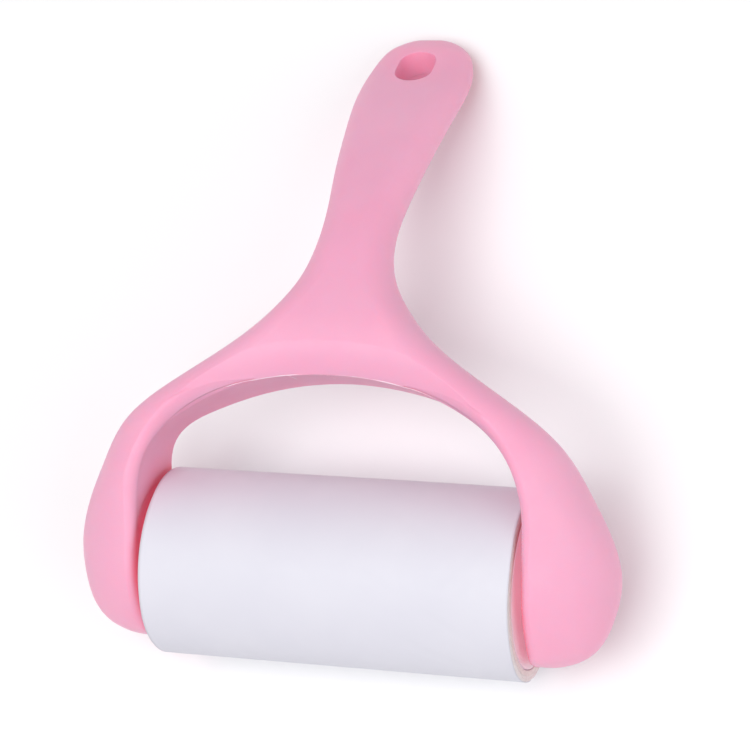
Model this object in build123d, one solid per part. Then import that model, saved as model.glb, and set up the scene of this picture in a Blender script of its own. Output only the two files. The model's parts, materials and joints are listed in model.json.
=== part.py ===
from build123d import *
import math
import os

# Lint roller: a two-shell plastic yoke that carries a refill of sticky paper between its two pods.
# Millimetres. X runs along the roll, +Y from the roll to the handle's tip, +Z up from the table.
# The parts are laid out about the roll's centre, and moved to the resting frame when written.

# ---------------------------------------------------------------- driving sizes
ROLL_LENGTH = 100.0          # paper width of a standard 10 cm refill
ROLL_RADIUS = 25.0
SHEET = 0.3                  # the exposed sheet, over the winding
SHEET_GAP = 5.0              # degrees between the sheet's free edge and its tear line
SHEET_EDGE = 200.0           # direction of that gap, in degrees from +Y towards +Z
CORE_INNER_RADIUS = 21.9
CORE_WALL = 1.4

WALL = 2.2                   # skin of both shells
INNER_WALL = 3.2             # wall along the opening, which carries the bearing plates
OUTER_SEAM = 0.6             # outer seam, as a share of the way from the back to the widest line
INNER_SEAM = 3.9             # inner seam, below the front surface and its softened edge
INNER_SEAM_TOP = 33.3        # and no higher than this, just under the opening's crisp edge
TAB_START = -11.3            # catch tab of the front shell, flush in the rear shell's wall
TAB_END = -1.1
TAB_DEPTH = 1.2
TAB_BOTTOM = 29.0

PLATE_RADIUS = 20.6          # bearing plate that closes each pod
PLATE_THICKNESS = 1.6
PLATE_CENTRE = 4.0           # height of the pod's centre over the roll's axis
PLATE_GAP = 0.1
PLATE_INSET = 3.8            # its rim stays this far inside the pod's outer surface
WINDOW_RADIUS = 9.0
SCREW_CIRCLE = 13.5          # plate screws, about the plate's centre
SCREW_ANGLES = (20.0, 200.0)
BOSS_RADIUS = 2.6
BOSS_LENGTH = 9.0

SPINDLE_RADIUS = 4.0
SPINDLE_FLANGE_RADIUS = 8.0
SPINDLE_FLANGE = 1.5
PRESS = 0.04                 # interference of the spindle in its plate
RUNNING_GAP = 0.06
FLOAT = 0.1                  # end play on each side of a washer
WASHER_RADIUS = 7.0

PLUG_RADIUS = 21.5
PLUG_FACE = 1.8
PLUG_COLLAR = 1.8
PLUG_DEPTH = 14.0
PLUG_WEBS = 6
WEB_THICKNESS = 1.2
WEB_DEPTH = 10.0
GRIP_RIBS = 12               # along the collar, and almost touching the core
RIB_LENGTH = 10.0
RIB_SETBACK = 3.5            # from the plug's face
RIB_WIDTH = 1.0
RIB_GAP = 0.02
HUB_RADIUS = 6.6
HUB_LENGTH = 12.0

SCREW_RADIUS = 1.4
THREAD_GAP = 0.03
HEAD_RADIUS = 2.5
HEAD_HEIGHT = 1.3
RETAINER_HEAD_RADIUS = 5.6
RETAINER_HEAD_HEIGHT = 2.0
RETAINER_LENGTH = 10.0
CROSS_WIDTH = 0.8
CROSS_DEPTH = 0.8

HANG_HOLE_Y = 139.0
HANG_HOLE_LENGTH = 14.4
HANG_HOLE_WIDTH = 10.6

POST_PLACES = ((-13.0, 58.0), (13.0, 58.0), (0.0, 88.0), (0.0, 118.0))
POST_RADIUS = 3.0
PIN_RADIUS = 1.5
PIN_LENGTH = 4.0
PIN_END_GAP = 0.5

# Stations of the yoke, from the bottom of the pods to the tip of the handle: place along Y,
# half width, heights of the front, of the widest line and of the back, and the rounded side's width.
STATIONS = (
    (-20.6, 56.3, 4.0, 0.5, -2.5, 5.0),
    (-18.5, 64.3, 10.5, 1.0, -8.5, 12.8),
    (-14.0, 69.3, 16.0, 1.5, -13.0, 17.8),
    (-7.0, 72.2, 21.5, 2.2, -15.5, 21.0),
    (2.0, 73.6, 25.0, 4.0, -15.0, 22.5),
    (12.0, 71.3, 29.0, 7.5, -8.5, 20.5),
    (22.0, 66.3, 32.7, 13.0, 2.5, 18.5),
    (32.0, 59.8, 35.3, 20.0, 8.5, 17.0),
    (42.0, 46.8, 37.3, 25.8, 12.5, 15.0),
    (50.0, 34.0, 38.0, 28.5, 15.5, 12.5),
    (57.0, 24.6, 38.0, 28.8, 17.5, 10.0),
    (64.0, 18.0, 36.8, 28.0, 18.3, 8.5),
    (72.0, 12.9, 34.8, 27.2, 19.0, 8.0),
    (82.0, 10.3, 32.0, 24.5, 16.8, 7.5),
    (92.0, 10.3, 27.4, 20.0, 12.4, 7.5),
    (104.0, 11.8, 20.7, 13.5, 6.2, 7.5),
    (118.0, 13.5, 11.7, 4.4, -2.8, 7.5),
    (132.0, 15.0, 0.8, -6.4, -13.4, 7.5),
    (142.0, 14.5, -7.8, -14.6, -21.2, 7.5),
    (146.3, 13.3, -11.0, -17.2, -23.2, 7.0),
    (149.5, 11.6, -13.4, -19.0, -24.4, 6.3),
    (151.7, 9.3, -15.8, -20.5, -24.8, 5.5),
    (153.2, 6.8, -18.0, -21.5, -24.6, 4.0),
    (153.9, 4.0, -19.8, -21.7, -23.8, 2.0),
)
POD_END = (0.0, -20.6)       # the pods' rounded end: where it begins and where it stops
TIP_END = (142.0, 153.9)     # the handle's rounded end, the same way

# The opening between the pods, seen from the front: its outline at its crisp front edge and
# at the back, from the pod's inner face to the crown. It widens a little towards the back.
POD_FACE = 52.1
OPENING_FRONT_Z = 33.6
OPENING_BACK_Z = 0.0
OPENING_FRONT = ((POD_FACE, 8.0), (47.4, 26.5), (36.5, 36.8), (20.5, 43.6), (0.0, 46.0))
OPENING_BACK = ((POD_FACE, 14.0), (49.8, 34.5), (38.0, 41.1), (20.5, 46.1), (0.0, 48.6))
ROLL_OFF_WIDTH = 9.0         # over the crisp edge the front surface rolls away from the opening,
ROLL_OFF_HEIGHT = 4.6        # up to just over its highest point
ROLL_OFF_STEPS = 6

# The edge of the opening is softened on the pods and the arms, and crisp at the crown.
# Places along it: on the pods' straight faces along Y, then as shares of the arch's outline.
FACE_PLACES = (-20.5, -18.5, -14.0, -7.0, 0.0, 6.0)
ARCH_PLACES = ((0.04, 3.0), (0.2, 3.0), (0.36, 3.0), (0.5, 2.6), (0.62, 1.6), (0.72, 0.6))
EDGE_ROUNDING = 3.0
ROUNDING_RISE = 0.04         # how far the rounding ends over the front surface
CUTTER_BOTTOM = -30.0
FOOT = -32.0                 # the cutter's lower side, beyond the pods

# ---------------------------------------------------------------- worked-out sizes
HALF_ROLL = ROLL_LENGTH / 2
PLATE_BACK = POD_FACE + PLATE_THICKNESS
HUB_END = HALF_ROLL - HUB_LENGTH
SPINDLE_END = HUB_END - FLOAT
ALONG_X = Plane.YZ           # its local axes are Y and Z, and its normal is +X


def disc(radius, start, end, centre=(0.0, 0.0)):
    """A cylinder along X from start to end, about a point of the YZ plane."""
    low, high = min(start, end), max(start, end)
    place = Plane(origin=(low, centre[0], centre[1]), x_dir=(0, 1, 0), z_dir=(1, 0, 0))
    return Solid.make_cylinder(radius, high - low, place)


def ring(outer, inner, start, end, centre=(0.0, 0.0)):
    return disc(outer, start, end, centre) - disc(inner, start - 1, end + 1, centre)


def on_left(shape):
    return mirror(shape, about=Plane.YZ)


# ---------------------------------------------------------------- the yoke's outer form
def section(y, half_width, front, widest, back, side):
    """One cross section of the yoke: flat front and back joined by elliptical sides."""
    flat = half_width - side
    upper, lower = front - widest, widest - back
    quarters = ((1, upper, 0), (-1, upper, 90), (-1, lower, 180), (1, lower, 270))
    edges = [Line((-flat, front), (flat, front)), Line((flat, back), (-flat, back))]
    for hand, height, start in quarters:
        centre = (hand * flat, widest)
        edges.append(EllipticalCenterArc(centre, side, height, start_angle=start, arc_size=90))
    plane = Plane(origin=(0, y, 0), x_dir=(1, 0, 0), z_dir=(0, -1, 0))
    return plane * Wire(edges)


def yoke_block(inset):
    """The yoke before its opening is cut, with every surface moved in by the inset."""
    sections = []
    least = 0.5
    for y, half_width, front, widest, back, side in STATIONS:
        for begin, stop in (POD_END, TIP_END):
            share = max(0.0, (y - begin) / (stop - begin))
            y -= math.copysign(share * inset, stop - begin)
        front = max(front - inset, widest + least)
        back = min(back + inset, widest - least)
        half_width = max(half_width - inset, 2 * least)
        side = min(max(side - inset, least), 0.9 * half_width)
        sections.append(section(y, half_width, front, widest, back, side))
    return Solid.make_loft(sections)


def arch_line(z, grow):
    """Right half of the opening's curved outline at a height, from the pod's face to the crown."""
    share = min(1.0, max(0.0, (OPENING_FRONT_Z - z) / (OPENING_FRONT_Z - OPENING_BACK_Z)))
    points = []
    for (x_front, y_front), (x_back, y_back) in zip(OPENING_FRONT, OPENING_BACK):
        x = x_front + (x_back - x_front) * share
        y = y_front + (y_back - y_front) * share
        scale = 1 + grow / math.hypot(x, y)
        points.append(Vector(x * scale, y * scale, z))
    points[0] = Vector(POD_FACE + grow, points[0].Y, z)
    return Edge.make_spline(points, tangents=[(0, 1, 0), (-1, 0, 0)], scale=False)


def half_outline(z, grow):
    """Right half of the opening's whole outline at a height, grown outwards from the roll's axis."""
    arch = arch_line(z, grow)
    foot = Vector(POD_FACE + grow, FOOT, z)
    middle = Vector(0, FOOT, z)
    return Wire([
        Edge.make_line(middle, foot),
        Edge.make_line(foot, arch @ 0),
        arch,
        Edge.make_line(arch @ 1, middle),
    ])


def roll_off():
    """Heights over the crisp edge, with how far the opening has grown at each."""
    levels = []
    for step in range(ROLL_OFF_STEPS + 1):
        share = step / ROLL_OFF_STEPS
        rise = ROLL_OFF_HEIGHT * (1 - (1 - share) ** 2)
        levels.append((OPENING_FRONT_Z + rise, ROLL_OFF_WIDTH * share))
    return levels


def opening_cutter(grow):
    """The opening's whole space: its walls, and the rolled edge at the front."""
    walls = [half_outline(z, grow) for z in (CUTTER_BOTTOM, OPENING_BACK_Z, OPENING_FRONT_Z)]
    brim = [half_outline(z, grow + extra) for z, extra in roll_off()]
    half = Solid.make_loft(walls, ruled=True) + Solid.make_loft(brim)
    return half + on_left(half)


def top_of(solid, place):
    """Height of a solid's upper surface over a place."""
    hits = solid.find_intersection_points(Axis((place.X, place.Y, 100), (0, 0, -1)))
    return max(point.Z for point, _ in hits)


def rounding_section(form, wall_at, size):
    """Section of what the softened edge takes away, square to the opening's edge at one place."""
    step = 0.3
    corner, outward = wall_at(OPENING_FRONT_Z)
    top = top_of(form, corner + outward * step)
    base, outward = wall_at(min(top, OPENING_FRONT_Z) - size)
    above, _ = wall_at(min(top, OPENING_FRONT_Z))
    up = (outward * (above - base).dot(outward) + Vector(0, 0, size)).normalized()
    end = base + outward * size
    further = end + outward * step
    end.Z = top_of(form, end) + ROUNDING_RISE
    further.Z = top_of(form, further) + ROUNDING_RISE
    along = (further - end).normalized()
    reach = 0.55
    curve = Edge.make_bezier(base, base + up * size * reach, end - along * size * reach, end)
    clear = 3.0
    over_end = end + Vector(0, 0, clear)
    corners = [end, over_end, over_end - outward * (clear + size), base - outward * clear, base]
    return Wire([curve] + [Edge.make_line(a, b) for a, b in zip(corners, corners[1:])])


def edge_rounding(form):
    """What the softened edge takes away from the pods and the arms."""
    def on_face(y):
        return lambda z: (Vector(POD_FACE, y, z), Vector(1, 0, 0))

    def on_arch(share):
        def place(z):
            line = arch_line(z, 0)
            return line.position_at(share), line.tangent_at(share).cross(Vector(0, 0, 1))
        return place

    sections = [rounding_section(form, on_face(y), EDGE_ROUNDING) for y in FACE_PLACES]
    sections += [rounding_section(form, on_arch(share), size) for share, size in ARCH_PLACES]
    past_the_end = sections[0].moved(Location((0, -1.0, -2.5)))
    half = Solid.make_loft(sections) + Solid.make_loft([past_the_end, sections[0]], ruled=True)
    return half + on_left(half)


def middle_line():
    """Points (y, z) halfway between the front and the back, along the side of the yoke."""
    return [(y, (front + back) / 2) for y, _, front, _, back, _ in STATIONS]


def seam_line():
    """Points (y, z) of the outer seam, a little behind the widest line."""
    return [(y, back + OUTER_SEAM * (widest - back)) for y, _, _, widest, back, _ in STATIONS]


def below(heights):
    """All the space under a line of heights along Y, right across the yoke."""
    margin = 10.0
    depth = -60.0
    start = (heights[0][0] - margin, heights[0][1])
    end = (heights[-1][0] + margin, heights[-1][1])
    line = Edge.make_spline([Vector(0, y, z) for y, z in heights])
    corners = [Vector(0, *end), Vector(0, end[0], depth), Vector(0, start[0], depth), Vector(0, *start)]
    edges = [line, Edge.make_line(line @ 1, corners[0])]
    edges += [Edge.make_line(a, b) for a, b in zip(corners, corners[1:])]
    edges.append(Edge.make_line(corners[-1], line @ 0))
    reach = 90.0
    face = Face(Wire(edges)).moved(Location((-reach, 0, 0)))
    return Solid.extrude(face, Vector(2 * reach, 0, 0))


def height_at(heights, y):
    """Straight interpolation in a line of heights."""
    for (y0, z0), (y1, z1) in zip(heights, heights[1:]):
        if y0 <= y <= y1:
            return z0 + (z1 - z0) * (y - y0) / (y1 - y0)
    raise ValueError("outside the yoke")


def hang_hole(grow):
    """The oval hole through the tip, square to the handle's face."""
    middle = middle_line()
    reach = 5.0
    rise = height_at(middle, HANG_HOLE_Y + reach) - height_at(middle, HANG_HOLE_Y - reach)
    along = Vector(0, 2 * reach, rise).normalized()
    normal = Vector(1, 0, 0).cross(along)
    centre = Vector(0, HANG_HOLE_Y, height_at(middle, HANG_HOLE_Y))
    depth = 14.0
    plane = Plane(origin=centre - normal * depth, x_dir=along, z_dir=normal)
    oval = SlotOverall(HANG_HOLE_LENGTH + 2 * grow, HANG_HOLE_WIDTH + 2 * grow)
    return Solid.extrude((plane * oval).face(), normal * (2 * depth))


def yoke_form():
    form = yoke_block(0) - opening_cutter(0)
    return form - edge_rounding(form) - hang_hole(0)


def yoke_cavity():
    return yoke_block(WALL) - opening_cutter(INNER_WALL) - hang_hole(WALL)


def slab(x_low, x_high, z_low, z_high):
    """A block that spans the whole yoke along Y."""
    length = 260.0
    middle = Pos((x_low + x_high) / 2, 60, (z_low + z_high) / 2)
    return middle * Box(x_high - x_low, length, z_high - z_low)


def rear_region():
    """What belongs to the rear shell: the back, and the wall all along the opening."""
    overlap = 0.3
    inner_wall = opening_cutter(INNER_WALL + overlap) & yoke_block(INNER_SEAM)
    inner_wall &= slab(-90, 90, -40, INNER_SEAM_TOP)
    tab = opening_cutter(TAB_DEPTH) & slab(TAB_START, TAB_END, TAB_BOTTOM, INNER_SEAM_TOP)
    return below(seam_line()) + inner_wall - tab


# ---------------------------------------------------------------- fixings inside the shells
def plate_seat():
    """The round recesses that take the two bearing plates, and the windows behind them."""
    seat = disc(PLATE_RADIUS + PLATE_GAP, POD_FACE - 1, PLATE_BACK, (0, PLATE_CENTRE))
    seat &= yoke_block(PLATE_INSET - PLATE_GAP)
    window = disc(WINDOW_RADIUS, POD_FACE - 1, POD_FACE + INNER_WALL + 1)
    right = seat + window
    return right + on_left(right)


def screw_places():
    return [(SCREW_CIRCLE * math.cos(math.radians(angle)),
             PLATE_CENTRE + SCREW_CIRCLE * math.sin(math.radians(angle))) for angle in SCREW_ANGLES]


def plate_bosses(cavity):
    """Bosses behind each plate that its two screws bite into, with their pilot holes."""
    start = POD_FACE + INNER_WALL
    bosses = Part() + [disc(BOSS_RADIUS, start - 0.5, PLATE_BACK + BOSS_LENGTH, c) for c in screw_places()]
    bosses &= cavity
    return bosses + on_left(bosses)


def plate_pilots():
    pilots = Part() + [disc(SCREW_RADIUS + THREAD_GAP, POD_FACE - 1, PLATE_BACK + BOSS_LENGTH - 1, c)
                       for c in screw_places()]
    return pilots + on_left(pilots)


def posts(cavity):
    """Posts that tie the two shells together, before they are divided at the seam."""
    bottom, height = -40.0, 90.0
    feet = [Plane(origin=(x, y, bottom)) for x, y in POST_PLACES]
    columns = Part() + [Solid.make_cylinder(POST_RADIUS, height, foot) for foot in feet]
    return columns & cavity


def post_pins(gap):
    """The pins of the rear posts, or with a gap, the holes that take them."""
    reach = PIN_LENGTH + (PIN_END_GAP if gap else 0)
    pins = []
    for x, y in POST_PLACES:
        start = Plane(origin=(x, y, height_at(seam_line(), y) - reach))
        pins.append(Solid.make_cylinder(PIN_RADIUS + gap, 2 * reach, start))
    return Part() + pins


def shells():
    """Front and rear shell, divided along the seam."""
    cavity = yoke_cavity()
    region = rear_region()
    seat = plate_seat()
    shell = yoke_form() - cavity + posts(cavity) - seat
    rear = (shell & region) + plate_bosses(cavity) - plate_pilots() + post_pins(0)
    front = shell - region - post_pins(PLATE_GAP)
    return front, rear


# ---------------------------------------------------------------- bearings, right-hand side
def pod_plate():
    plate = disc(PLATE_RADIUS, POD_FACE, PLATE_BACK, (0, PLATE_CENTRE)) & yoke_block(PLATE_INSET)
    plate -= disc(SPINDLE_RADIUS, POD_FACE - 1, PLATE_BACK + 1)
    for place in screw_places():
        plate -= disc(SCREW_RADIUS + PLATE_GAP, POD_FACE - 1, PLATE_BACK + 1, place)
    return plate


def cross(start, depth, width, centre=(0.0, 0.0)):
    """A cross recess in a screw's head that faces the middle of the roll."""
    arm = 2.8 * width
    box = Box(depth, 2 * arm, width) + Box(depth, width, 2 * arm)
    return Pos(start + depth / 2, centre[0], centre[1]) * box


def plate_screws():
    """Four identical screws: two through each plate into the bosses."""
    screws = []
    for place in screw_places():
        head = disc(HEAD_RADIUS, POD_FACE - HEAD_HEIGHT, POD_FACE, place)
        head -= cross(POD_FACE - HEAD_HEIGHT, CROSS_DEPTH, CROSS_WIDTH, place)
        screw = head + disc(SCREW_RADIUS, POD_FACE, PLATE_BACK + BOSS_LENGTH - 2, place)
        screws += [screw, on_left(screw)]
    return screws


def spindle():
    body = disc(SPINDLE_RADIUS + PRESS, POD_FACE, PLATE_BACK)
    body += disc(SPINDLE_FLANGE_RADIUS, PLATE_BACK, PLATE_BACK + SPINDLE_FLANGE)
    body += disc(SPINDLE_RADIUS, SPINDLE_END, POD_FACE)
    pilot_end = SPINDLE_END + RETAINER_LENGTH + 1
    return body - disc(SCREW_RADIUS + THREAD_GAP, SPINDLE_END - 1, pilot_end)


def washer():
    return ring(WASHER_RADIUS, SPINDLE_RADIUS + RUNNING_GAP, HALF_ROLL + FLOAT, POD_FACE - FLOAT)


def end_plug():
    """The plug in the core's end: face, collar, hub and the webs between them."""
    collar_inner = PLUG_RADIUS - PLUG_COLLAR
    collar_end = HALF_ROLL - PLUG_DEPTH
    plug = disc(PLUG_RADIUS, HALF_ROLL - PLUG_FACE, HALF_ROLL)
    plug += ring(PLUG_RADIUS, collar_inner, collar_end, HALF_ROLL)
    plug += disc(HUB_RADIUS, HUB_END, HALF_ROLL)
    web_middle = (collar_inner + HUB_RADIUS) / 2
    web = Pos(HALF_ROLL - HUB_LENGTH / 2, web_middle, 0) * Box(
        WEB_DEPTH, collar_inner - HUB_RADIUS + 1, WEB_THICKNESS)
    for index in range(PLUG_WEBS):
        plug += Rot(360 / PLUG_WEBS * (index + 0.5), 0, 0) * web
    rib_middle = HALF_ROLL - RIB_SETBACK - RIB_LENGTH / 2
    rib = Pos(rib_middle, PLUG_RADIUS, 0) * Box(RIB_LENGTH, RIB_WIDTH, RIB_WIDTH)
    for index in range(GRIP_RIBS):
        plug += Rot(360 / GRIP_RIBS * index, 0, 0) * rib
    plug &= disc(CORE_INNER_RADIUS - RIB_GAP, collar_end - 1, HALF_ROLL)
    return plug - disc(SPINDLE_RADIUS + RUNNING_GAP, collar_end - 5, HALF_ROLL + 1)


def retaining_screws():
    """A large-headed screw in the end of each spindle, which keeps the plug on it."""
    start = SPINDLE_END - RETAINER_HEAD_HEIGHT
    head = disc(RETAINER_HEAD_RADIUS, start, SPINDLE_END)
    head -= cross(start, CROSS_DEPTH, CROSS_WIDTH)
    screw = head + disc(SCREW_RADIUS, SPINDLE_END, SPINDLE_END + RETAINER_LENGTH)
    return [screw, on_left(screw)]


# ---------------------------------------------------------------- the refill
def core_tube():
    outer = CORE_INNER_RADIUS + CORE_WALL
    return ring(outer, CORE_INNER_RADIUS, -HALF_ROLL, HALF_ROLL)


def paper_winding():
    return ring(ROLL_RADIUS - SHEET, CORE_INNER_RADIUS + CORE_WALL, -HALF_ROLL, HALF_ROLL)


def outer_sheet():
    """The exposed sheet: nearly a full turn, open between its free edge and its tear line."""
    sheet = ring(ROLL_RADIUS, ROLL_RADIUS - SHEET, -HALF_ROLL, HALF_ROLL)
    half = math.radians(SHEET_GAP / 2)
    far = ROLL_RADIUS + 5
    wedge = Polygon((0, 0), (far * math.cos(half), -far * math.sin(half)),
                    (far * math.cos(half), far * math.sin(half)), align=None)
    cut = extrude(ALONG_X.offset(-HALF_ROLL - 1) * wedge, ROLL_LENGTH + 2)
    return sheet - Rot(SHEET_EDGE, 0, 0) * cut


def main():
    os.makedirs("parts", exist_ok=True)
    front, rear = shells()
    pieces = {
        "front_shell": front,
        "rear_shell": rear,
        "plate_screws": Compound(plate_screws()),
        "retaining_screws": Compound(retaining_screws()),
        "core_tube": core_tube(),
        "paper_winding": paper_winding(),
        "outer_sheet": outer_sheet(),
    }
    for make in (pod_plate, spindle, washer, end_plug):
        piece = make()
        pieces["right_" + make.__name__] = piece
        pieces["left_" + make.__name__] = on_left(piece)
    boxes = [piece.bounding_box() for piece in pieces.values()]
    middle_y = (min(b.min.Y for b in boxes) + max(b.max.Y for b in boxes)) / 2
    floor = min(b.min.Z for b in boxes)
    print("the roll's axis is at y", -middle_y, "z", -floor)
    for name, piece in pieces.items():
        export_step(Pos(0, -middle_y, -floor) * piece, f"parts/{name}.step")


if __name__ == "__main__":
    main()
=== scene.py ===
import json
import math
import random

import bmesh
import bpy
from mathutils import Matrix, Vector


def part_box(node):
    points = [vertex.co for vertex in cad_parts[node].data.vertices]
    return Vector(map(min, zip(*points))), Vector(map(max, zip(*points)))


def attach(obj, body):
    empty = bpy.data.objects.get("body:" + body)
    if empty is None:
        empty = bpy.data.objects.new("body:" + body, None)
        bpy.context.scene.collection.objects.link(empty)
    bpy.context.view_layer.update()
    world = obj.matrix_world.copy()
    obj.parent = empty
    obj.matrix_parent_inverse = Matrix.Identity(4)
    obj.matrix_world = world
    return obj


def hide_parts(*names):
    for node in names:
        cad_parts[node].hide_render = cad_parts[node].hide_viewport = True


# Looks of the lint roller. Metres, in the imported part's frame: X along the roll,
# +Y from the roll to the handle's tip, +Z up from the floor that it lies on.

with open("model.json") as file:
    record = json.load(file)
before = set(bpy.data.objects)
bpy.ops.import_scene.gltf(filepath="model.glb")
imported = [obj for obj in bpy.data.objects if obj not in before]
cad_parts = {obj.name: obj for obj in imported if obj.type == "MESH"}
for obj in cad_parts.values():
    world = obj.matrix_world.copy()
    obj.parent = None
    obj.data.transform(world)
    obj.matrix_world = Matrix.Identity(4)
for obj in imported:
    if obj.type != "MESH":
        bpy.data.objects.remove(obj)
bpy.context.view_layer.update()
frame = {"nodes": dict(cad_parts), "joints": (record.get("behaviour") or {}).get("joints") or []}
nodes = frame["nodes"]

MM = 0.001
roll_joint = frame["joints"][0]
AXIS = Vector(roll_joint["pos_m"])


# ---------------------------------------------------------------- node helpers
class Shader:
    """A material with a Principled shader, and short ways to add nodes to it."""

    def __init__(self, name, **values):
        self.material = bpy.data.materials.new(name)
        self.material.use_nodes = True
        self.tree = self.material.node_tree
        self.principled = self.tree.nodes["Principled BSDF"]
        self.place = self.add("ShaderNodeTexCoord").outputs["Object"]
        self.set(**values)

    def set(self, **values):
        for key, value in values.items():
            self.principled.inputs[key.replace("_", " ")].default_value = value

    def add(self, kind, **settings):
        node = self.tree.nodes.new(kind)
        for key, value in settings.items():
            setattr(node, key, value)
        return node

    def link(self, source, target):
        self.tree.links.new(source, target)

    def scaled(self, factors):
        """The object's own coordinates, stretched by three factors."""
        mapping = self.add("ShaderNodeMapping")
        mapping.inputs["Scale"].default_value = factors
        self.link(self.place, mapping.inputs["Vector"])
        return mapping.outputs["Vector"]

    def noise(self, scale, detail=2.0, roughness=0.5, factors=(1, 1, 1)):
        node = self.add("ShaderNodeTexNoise")
        node.inputs["Scale"].default_value = scale
        node.inputs["Detail"].default_value = detail
        node.inputs["Roughness"].default_value = roughness
        self.link(self.scaled(factors), node.inputs["Vector"])
        return node.outputs["Fac"]

    def ramp(self, source, stops):
        """A colour ramp; each stop is a place and a colour."""
        node = self.add("ShaderNodeValToRGB")
        ramp = node.color_ramp
        while len(ramp.elements) < len(stops):
            ramp.elements.new(0.5)
        for element, (place, colour) in zip(ramp.elements, stops):
            element.position = place
            element.color = (*colour, 1.0)
        self.link(source, node.inputs["Fac"])
        return node.outputs["Color"]

    def blotches(self, source, shades, start=0.3, stop=0.7):
        """A pattern in two close shades."""
        return self.ramp(source, ((start, shades[0]), (stop, shades[1])))

    def levels(self, source, low, high, start=0.3, stop=0.7):
        """Maps a 0 to 1 pattern to a range of values."""
        node = self.add("ShaderNodeMapRange", clamp=True)
        for key, value in (("From Min", start), ("From Max", stop), ("To Min", low), ("To Max", high)):
            node.inputs[key].default_value = value
        self.link(source, node.inputs["Value"])
        return node.outputs["Result"]

    def times(self, first, second):
        node = self.add("ShaderNodeMath", operation="MULTIPLY")
        self.link(first, node.inputs[0])
        self.link(second, node.inputs[1])
        return node.outputs["Value"]

    def mix(self, share, source, colour):
        """A coloured pattern that turns to one colour where the share is 1."""
        node = self.add("ShaderNodeMix", data_type="RGBA")
        self.link(share, node.inputs["Factor"])
        self.link(source, node.inputs["A"])
        node.inputs["B"].default_value = (*colour, 1.0)
        return node.outputs["Result"]

    def bump(self, height, distance, strength=1.0, over=None):
        node = self.add("ShaderNodeBump")
        node.inputs["Distance"].default_value = distance
        node.inputs["Strength"].default_value = strength
        self.link(height, node.inputs["Height"])
        if over is not None:
            self.link(over, node.inputs["Normal"])
        return node.outputs["Normal"]

    def feed(self, key, source):
        self.link(source, self.principled.inputs[key])

    # Painted light: an emission that makes the part glow, though it is no lamp.
    def glow(self, colour, strength):
        self.set(Emission_Color=(*colour, 1.0))
        self.feed("Emission Strength", strength)


# ---------------------------------------------------------------- materials
PINK_SHADES = ((0.93, 0.372, 0.535), (0.955, 0.405, 0.565))
PINK_PAINTED_GAP_SHADE = (0.85, 0.12, 0.18)       # painted shade: a darker, redder colour painted into gaps, in place of shade and of light through the plastic
# painted light: the pink plastic glows in gaps, in place of light passed through it
PINK_PAINTED_GLOW = (0.75, 0.045, 0.09)
# painted highlight along the top of the arch's front
ARCH_HIGHLIGHT_TINT = (0.97, 0.72, 0.82)
# painted highlight: the flash line's paler shade
FLASH_HIGHLIGHT_SHADES = (PINK_SHADES[1], (1.0, 0.72, 0.83))
WHITE_SHADES = ((0.84, 0.74, 0.80), (0.88, 0.79, 0.84))
PLUG_PAINTED_GLOW = (0.74, 0.54, 0.70)       # painted light: the plug glows in gaps, in place of light from the plastic round it
ZINC_SHADES = ((0.55, 0.56, 0.58), (0.72, 0.73, 0.75))
CARDBOARD_SHADES = ((0.74, 0.67, 0.65), (0.84, 0.78, 0.76))
PAPER_SHADES = ((0.69, 0.675, 0.745), (0.715, 0.70, 0.765))
PAPER_EDGE_SHADES = ((0.80, 0.74, 0.73), (0.88, 0.84, 0.83))
FLOOR_SHADES = ((0.93, 0.93, 0.935), (0.95, 0.95, 0.955))
GAP_REACH = 9 * MM                   # how far apart two walls still make a gap, for the painted gap shade and glow
CORNER_RADIUS = 0.4 * MM             # roundness that the shading gives to sharp plastic corners


def painted_arch_highlight(shader, colour):
    """A faint whitish painted highlight along the top of the arch's front, in streaks along X."""
    centre = AXIS + Vector((-3, 52.5, 13)) * MM
    scales = [1 / (half_size * MM) for half_size in (14, 2.2, 10)]
    reach = shader.add("ShaderNodeMapping")
    reach.inputs["Scale"].default_value = scales
    reach.inputs["Location"].default_value = [-along * scale for along, scale in zip(centre, scales)]
    shader.link(shader.place, reach.inputs["Vector"])
    length = shader.add("ShaderNodeVectorMath", operation="LENGTH")
    shader.link(reach.outputs["Vector"], length.inputs[0])
    inside = shader.levels(length.outputs["Value"], 1.0, 0.0, 0.2, 1.0)
    streaks = shader.levels(shader.noise(420, detail=4, factors=(0.25, 2.2, 1)), 0.0, 0.55, 0.48, 0.72)
    return shader.mix(shader.times(inside, streaks), colour, ARCH_HIGHLIGHT_TINT)


def painted_gap_mask(shader, low, high, most=1.0):
    """A mask for painted shade and glow in gaps: falls from the most to 0 as the share of open space
    round a place goes from low to high.
    """
    openness = shader.add("ShaderNodeAmbientOcclusion", samples=6)
    openness.inputs["Distance"].default_value = GAP_REACH
    return shader.levels(openness.outputs["AO"], most, 0.0, low, high)


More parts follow.
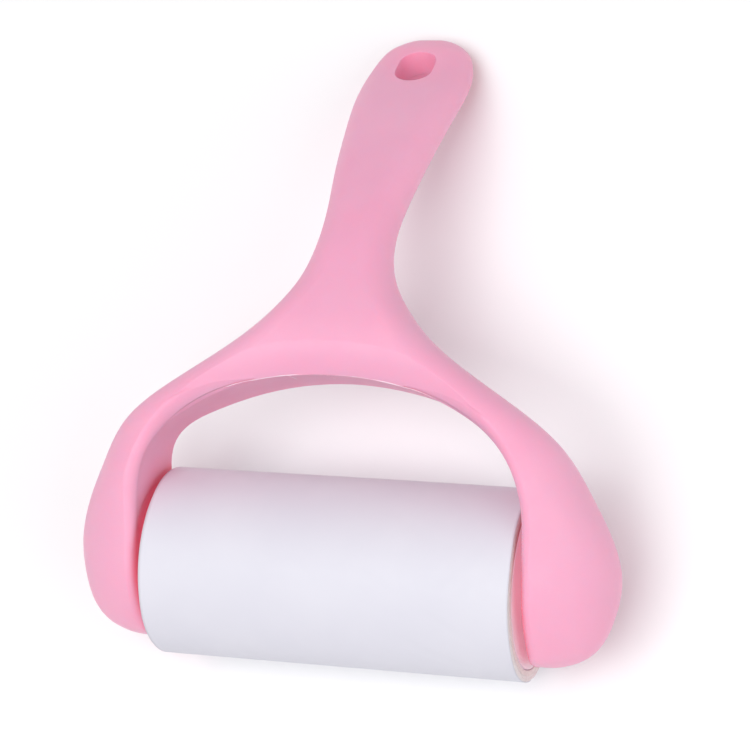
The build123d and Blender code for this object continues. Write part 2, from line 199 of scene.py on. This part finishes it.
def pink_plastic():
    shader = Shader("pink_plastic", Subsurface_Weight=0.4, Specular_IOR_Level=0.38)
    shader.set(Subsurface_Radius=(0.009, 0.0012, 0.0016), Subsurface_Scale=0.9)
    clouds = shader.noise(28, detail=3)
    colour = shader.blotches(clouds, PINK_SHADES, 0.35, 0.65)
    # painted shade: the colour turns darker and redder in gaps
    painted_gap_shade = painted_gap_mask(shader, 0.05, 0.75)
    # a painted highlight in whitish streaks on the arch
    shader.feed("Base Color", shader.mix(painted_gap_shade, painted_arch_highlight(shader, colour), PINK_PAINTED_GAP_SHADE))
    # painted light: the plastic glows red in gaps
    shader.glow(PINK_PAINTED_GLOW, painted_gap_mask(shader, 0.05, 0.50, most=0.10))
    handling = shader.noise(160, detail=4)
    shader.feed("Roughness", shader.levels(handling, 0.40, 0.50))
    corner = shader.add("ShaderNodeBevel", samples=4)
    corner.inputs["Radius"].default_value = CORNER_RADIUS
    grain = shader.bump(shader.noise(2600, detail=2), 0.02 * MM, 0.5, over=corner.outputs["Normal"])
    waves = shader.bump(shader.noise(55, detail=1), 0.2 * MM, 0.25, over=grain)
    shader.feed("Normal", waves)
    return shader.material


def flash_plastic():
    """The same plastic along the thin flash line: shinier, and paler as a painted highlight."""
    shader = Shader("flash_plastic", Subsurface_Weight=0.2, Specular_IOR_Level=0.6)
    shader.set(Subsurface_Radius=(0.003, 0.0012, 0.0016), Subsurface_Scale=0.5)
    breaks = shader.noise(180, detail=3)
    shader.feed("Base Color", shader.blotches(breaks, FLASH_HIGHLIGHT_SHADES, 0.4, 0.6))
    shader.feed("Roughness", shader.levels(breaks, 0.25, 0.40))
    return shader.material


def white_plastic():
    shader = Shader("white_plastic", Subsurface_Weight=0.1, Specular_IOR_Level=0.45)
    shader.set(Subsurface_Radius=(0.002, 0.0016, 0.0016), Subsurface_Scale=0.5)
    clouds = shader.noise(40, detail=3)
    shader.feed("Base Color", shader.blotches(clouds, WHITE_SHADES))
    # painted light: the plug glows in gaps
    shader.glow(PLUG_PAINTED_GLOW, painted_gap_mask(shader, 0.1, 0.8, most=0.30))
    shader.feed("Roughness", shader.levels(shader.noise(220, detail=3), 0.36, 0.48))
    shader.feed("Normal", shader.bump(shader.noise(2400, detail=2), 0.02 * MM, 0.5))
    return shader.material


def zinc_steel():
    shader = Shader("zinc_steel", Metallic=1.0)
    patches = shader.noise(700, detail=3)
    shader.feed("Base Color", shader.blotches(patches, ZINC_SHADES))
    shader.feed("Roughness", shader.levels(shader.noise(1500, detail=2), 0.25, 0.42))
    shader.feed("Normal", shader.bump(shader.noise(3500, detail=2), 0.01 * MM, 0.6))
    return shader.material


def cardboard():
    shader = Shader("cardboard", Roughness=0.9, Specular_IOR_Level=0.2)
    fibres = shader.noise(900, detail=4, factors=(0.35, 1, 1))
    shader.feed("Base Color", shader.blotches(fibres, CARDBOARD_SHADES))
    shader.feed("Normal", shader.bump(fibres, 0.06 * MM, 0.8))
    return shader.material


def coated_paper():
    shader = Shader("coated_paper", Specular_IOR_Level=0.35)
    tone = shader.noise(45, detail=3)
    shader.feed("Base Color", shader.blotches(tone, PAPER_SHADES))
    shader.feed("Roughness", shader.levels(shader.noise(300, detail=3), 0.5, 0.66))
    fibres = shader.noise(3000, detail=3, factors=(1, 0.5, 0.5))
    shader.feed("Normal", shader.bump(fibres, 0.02 * MM, 0.5))
    return shader.material


def paper_edge():
    """The cut ends of the layers: a little creamier and rougher than the face of the paper."""
    shader = Shader("paper_edge", Roughness=0.8, Specular_IOR_Level=0.25)
    tone = shader.noise(500, detail=3, factors=(0.2, 1, 1))
    shader.feed("Base Color", shader.blotches(tone, PAPER_EDGE_SHADES))
    shader.feed("Normal", shader.bump(shader.noise(2500, detail=3), 0.04 * MM, 0.6))
    return shader.material


def floor_surface():
    shader = Shader("floor_surface", Roughness=0.85, Specular_IOR_Level=0.1)
    tone = shader.noise(3, detail=2)
    shader.feed("Base Color", shader.blotches(tone, FLOOR_SHADES))
    return shader.material


PINK_PLASTIC = pink_plastic()
FLASH_PLASTIC = flash_plastic()
WHITE_PLASTIC = white_plastic()
ZINC_STEEL = zinc_steel()
CARDBOARD = cardboard()
PAPER = coated_paper()
PAPER_EDGE = paper_edge()


def dress(material, *names):
    """Gives CAD nodes a material."""
    for name in names:
        slots = nodes[name].data.materials
        slots.clear()
        slots.append(material)


dress(PINK_PLASTIC, "front_shell", "rear_shell", "left_pod_plate", "right_pod_plate")
dress(WHITE_PLASTIC, "left_end_plug", "right_end_plug", "left_spindle", "right_spindle")
dress(WHITE_PLASTIC, "left_washer", "right_washer")
dress(ZINC_STEEL, "plate_screws", "retaining_screws")
dress(CARDBOARD, "core_tube")


# ---------------------------------------------------------------- pieces of the refill
def surface(name, rings, material, closed_loop=False, capped=False):
    """A smooth mesh from closed rings of points, each joined to the next, with its own material.

    In a closed loop the last ring joins the first; a capped one has a face across each end.
    """
    build = bmesh.new()
    rows = [[build.verts.new(point) for point in ring] for ring in rings]
    pairs = list(zip(rows, rows[1:]))
    if closed_loop:
        pairs.append((rows[-1], rows[0]))
    for row, following in pairs:
        for i in range(len(row)):
            j = (i + 1) % len(row)
            build.faces.new((row[i], row[j], following[j], following[i]))
    if capped:
        build.faces.new(rows[0])
        build.faces.new(rows[-1])
    bmesh.ops.recalc_face_normals(build, faces=build.faces)
    mesh = bpy.data.meshes.new(name)
    build.to_mesh(mesh)
    build.free()
    mesh.polygons.foreach_set("use_smooth", [True] * len(mesh.polygons))
    mesh.materials.append(material)
    obj = bpy.data.objects.new(name, mesh)
    bpy.context.collection.objects.link(obj)
    return obj


def about_axis(x, radius, angle):
    """A point at a radius about the roll's axis; angle 0 is +Y, and it turns towards +Z."""
    return Vector((AXIS.x + x, AXIS.y + radius * math.cos(angle), AXIS.z + radius * math.sin(angle)))


SHEET_LOW, SHEET_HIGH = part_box("outer_sheet")
HALF_PAPER = (SHEET_HIGH.x - SHEET_LOW.x) / 2
ROLL_RADIUS = (SHEET_HIGH.y - SHEET_LOW.y) / 2
CORE_RADIUS = (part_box("core_tube")[1].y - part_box("core_tube")[0].y) / 2
EDGE_ANGLE = math.radians(200)       # direction of the gap at the exposed sheet's free edge
EDGE_GAP = math.radians(5)
SHEET_THICKNESS = 0.16 * MM
SHEET_MARGIN = 0.06 * MM             # the sheet waves about this depth in its CAD solid
LAYER_GAP = 0.09 * MM                # between the sheet and the layers under it
LAYERS = 13


def crease(x, arc, start, end, width, depth):
    """Depth of a soft straight crease at a place on the unrolled paper."""
    along = Vector(end) - Vector(start)
    offset = Vector((x, arc)) - Vector(start)
    share = max(0.0, min(1.0, offset.dot(along) / along.length_squared))
    away = (offset - along * share).length
    return depth * math.exp(-(away / width) ** 2) * math.sin(math.pi * share)


# Soft creases of the exposed sheet, on the unrolled paper: where each starts and ends, in metres
# along X and along the arc from +Y, and then its width and its depth.
CREASES = (
    ((0.018, 0.058), (0.040, 0.071), 1.6 * MM, 0.10 * MM),
    ((0.026, 0.050), (0.041, 0.060), 1.2 * MM, 0.07 * MM),
    ((-0.030, 0.066), (-0.018, 0.075), 1.4 * MM, 0.06 * MM),
    ((0.012, 0.020), (0.030, 0.034), 2.0 * MM, 0.06 * MM),
)


def sheet_radius(x, angle):
    """The paper is nearly round: it waves a little, and it has a few soft creases."""
    arc = ROLL_RADIUS * angle
    wave = 0.020 * MM * (math.sin(3 * angle + 1.1) + math.sin(5 * angle + 62 * x))
    wave += 0.018 * MM * math.sin(95 * x + 2 * math.sin(2 * angle))
    dents = sum(crease(x, arc, *one) for one in CREASES)
    return ROLL_RADIUS - SHEET_MARGIN + wave - dents


def sheet_end(side, angle):
    """The sheet's two long edges wander by a tenth or two of a millimetre."""
    wander = 0.10 * math.sin(2 * angle + side) + 0.05 * math.sin(7 * angle)
    return side * (HALF_PAPER - (0.18 + wander) * MM)


def close_ends(obj, count):
    """Faces across the first and the last ring of a flat strip whose rings hold count points."""
    build = bmesh.new()
    build.from_mesh(obj.data)
    build.verts.ensure_lookup_table()
    total = len(build.verts)
    for first in (0, total - count):
        ring = [build.verts[first + i] for i in range(count)]
        for i in range(count // 2 - 1):
            build.faces.new((ring[i], ring[i + 1], ring[count - 2 - i], ring[count - 1 - i]))
    bmesh.ops.recalc_face_normals(build, faces=build.faces)
    build.to_mesh(obj.data)
    build.free()


def exposed_sheet():
    """The outermost sheet, from its tear line right round to its free edge."""
    start = EDGE_ANGLE + EDGE_GAP / 2 - 2 * math.pi
    stop = EDGE_ANGLE - EDGE_GAP / 2
    steps, columns = 300, 130
    rings = []
    for i in range(steps + 1):
        angle = start + (stop - start) * i / steps
        left, right = sheet_end(-1, angle), sheet_end(1, angle)
        row = [left + (right - left) * j / columns for j in range(columns + 1)]
        radii = [sheet_radius(x, angle % (2 * math.pi)) for x in row]
        outer = [about_axis(x, radius, angle) for x, radius in zip(row, radii)]
        inner = [about_axis(x, radius - SHEET_THICKNESS, angle) for x, radius in zip(row, radii)]
        rings.append(outer + inner[::-1])
    sheet = surface("exposed_sheet", rings, PAPER)
    close_ends(sheet, len(rings[0]))
    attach(sheet, "roll")
    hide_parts("outer_sheet")


def layer_profile(pitch):
    """The winding's section, round both its ends: radius, side, depth and phase of each point."""
    rng = random.Random(7)
    profile = []
    for side in (-1, 1):
        depths = [rng.uniform(0.0, 0.22) * MM for _ in range(LAYERS)]
        phases = [rng.uniform(0, 2 * math.pi) for _ in range(LAYERS)]
        steps = []
        for k in range(LAYERS):
            for share in (0.06, 0.5, 0.94):
                steps.append((CORE_RADIUS + pitch * (k + share), side, depths[k], phases[k]))
        profile += steps if side < 0 else steps[::-1]
    return profile


def wound_layers():
    """The winding under the sheet: its ends show the edges of its layers, none quite flush."""
    steps = 180
    outer = ROLL_RADIUS - SHEET_MARGIN - SHEET_THICKNESS - LAYER_GAP
    rings = []
    for radius, side, depth, phase in layer_profile((outer - CORE_RADIUS) / LAYERS):
        ring = []
        for i in range(steps):
            angle = 2 * math.pi * i / steps
            sway = 0.05 * MM * (1 + math.sin(2 * angle + phase))
            ring.append(about_axis(side * (HALF_PAPER - depth - sway), radius, angle))
        rings.append(ring)
    winding = surface("wound_layers", rings, PAPER_EDGE, closed_loop=True)
    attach(winding, "roll")
    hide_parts("paper_winding")


# ---------------------------------------------------------------- moulding flash on the yoke
FLASH_HALF_LENGTH = 30 * MM
FLASH_RADIUS = 0.13 * MM
FLASH_LIFT = Vector((0, -0.05, 0.25)) * MM
TAB_ENDS = (-11.3 * MM, -1.1 * MM)   # the catch tab, which lies flush in the wall under the edge
TAB_LINE = 8 * MM                    # length of the lines beside the tab, down the wall
EDGE_STEP = 1.5 * MM                 # one point of the edge in each step along X
EDGE_BAND = 0.4 * MM                 # the edge lies within this height of the rear shell's top
WALL_REACH = 5 * MM                  # how far in front of the wall the search for it starts


def tube(name, points, radius_at, material, sides=8):
    """A thin closed tube along points, its radius given for each share of its length."""
    rings = []
    last = len(points) - 1
    aside = Vector((0, 1, 1))        # no line runs this way
    turn = [2 * math.pi * k / sides for k in range(sides)]
    for i, point in enumerate(points):
        along = (points[min(i + 1, last)] - points[max(i - 1, 0)]).normalized()
        across = along.cross(aside).normalized()
        up = across.cross(along)
        radius = radius_at(i / last)
        rings.append([point + radius * (math.cos(a) * across + math.sin(a) * up) for a in turn])
    return surface(name, rings, material, capped=True)


def wall_at(x, z, y):
    """Where a line along +Y first meets either shell, or the place itself if it meets none."""
    start = Vector((x, y - WALL_REACH, z))
    along = Vector((0, 1, 0))
    found = [nodes[name].ray_cast(start, along) for name in ("front_shell", "rear_shell")]
    places = [place for hit, place, _, _ in found if hit]
    return min(places, key=lambda place: place.y) if places else Vector((x, y, z))


def opening_edge():
    """Points just over the opening's crisp edge, from left to right, read from the shells' meshes."""
    middle = [v.co for v in nodes["rear_shell"].data.vertices if abs(v.co.x) < FLASH_HALF_LENGTH]
    top = max(co.z for co in middle)
    nearest = {}
    for co in middle:
        place = round(co.x / EDGE_STEP)
        if top - co.z < EDGE_BAND and (place not in nearest or co.y < nearest[place].y):
            nearest[place] = co
    edge = [nearest[place] for place in sorted(nearest)]
    walls = [wall_at(co.x, co.z - EDGE_BAND, co.y) for co in edge]
    return [Vector((co.x, wall.y, co.z)) + FLASH_LIFT for co, wall in zip(edge, walls)]


def down_the_wall(top, length, count=9):
    """Points on the opening's wall straight under a point of its edge."""
    return [wall_at(top.x, top.z - length * step / count, top.y) for step in range(1, count + 1)]


def flash_line(name, points, radius_at):
    """A raised hair line of plastic on the yoke."""
    line = tube(name, points, radius_at, FLASH_PLASTIC)
    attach(line, "frame")


def uneven_radius(share):
    """Radius of the long line: uneven, and thin at both ends."""
    uneven = 1 + 0.4 * math.sin(29 * share) * math.sin(11 * share)
    return FLASH_RADIUS * uneven * min(1.0, 0.3 + 8 * share * (1 - share))


def fading_radius(share):
    """Radius of a line down the wall: thinner towards its lower end."""
    return FLASH_RADIUS * (1.4 - 0.7 * share)


def parting_flash():
    """The line where the two shells meet along the opening's crown, and the two beside its tab."""
    edge = opening_edge()
    flash_line("parting_flash", edge, uneven_radius)
    for number, x in enumerate(TAB_ENDS, start=1):
        top = min(edge, key=lambda point: abs(point.x - x))
        flash_line(f"tab_line_{number}", down_the_wall(top, TAB_LINE), fading_radius)


exposed_sheet()
wound_layers()
parting_flash()


# ---------------------------------------------------------------- stage, lights and camera
FLOOR_HALF = 3.0
FLOOR_DROP = 0.2 * MM                # keeps the floor clear of the object's lowest points


def floor():
    half = FLOOR_HALF
    mesh = bpy.data.meshes.new("studio_floor")
    corners = [(-half, -half, 0), (half, -half, 0), (half, half, 0), (-half, half, 0)]
    mesh.from_pydata(corners, [], [(0, 1, 2, 3)])
    obj = bpy.data.objects.new("studio_floor", mesh)
    bpy.context.collection.objects.link(obj)
    mesh.materials.append(floor_surface())
    obj.location.z = -FLOOR_DROP


def light(name, place, target, size, power):
    """A square area light that looks at a target."""
    data = bpy.data.lights.new(name, "AREA")
    data.shape = "SQUARE"
    data.size = size
    data.energy = power
    obj = bpy.data.objects.new(name, data)
    bpy.context.collection.objects.link(obj)
    obj.location = place
    obj.rotation_euler = (Vector(target) - Vector(place)).to_track_quat("-Z", "Y").to_euler()


def studio():
    world = bpy.data.worlds.new("studio")
    bpy.context.scene.world = world
    world.use_nodes = True
    background = world.node_tree.nodes["Background"]
    background.inputs["Color"].default_value = (0.97, 0.98, 1.0, 1.0)
    background.inputs["Strength"].default_value = 0.52
    light("key_light", (-0.08, -0.22, 1.15), (0, -0.01, 0.02), 0.7, 8.0)
    light("right_fill", (0.85, -0.25, 0.75), (0, 0, 0.02), 0.8, 2.4)


CAMERA_PLACE = Vector((0.21623, -0.07514, 0.63966))   # from the middle of the roll
CAMERA_ANGLES = (12.768, 17.302, 6.525)               # degrees
CAMERA_LENS = 123.3                                   # mm, for a sensor 36 mm wide


def camera():
    data = bpy.data.cameras.new("camera")
    data.sensor_width = 36.0
    data.lens = CAMERA_LENS
    data.clip_start = 0.01
    obj = bpy.data.objects.new("camera", data)
    bpy.context.collection.objects.link(obj)
    obj.location = AXIS + CAMERA_PLACE
    obj.rotation_euler = [math.radians(angle) for angle in CAMERA_ANGLES]
    bpy.context.scene.camera = obj


floor()
studio()
camera()
bpy.context.scene.view_settings.view_transform = "Standard"
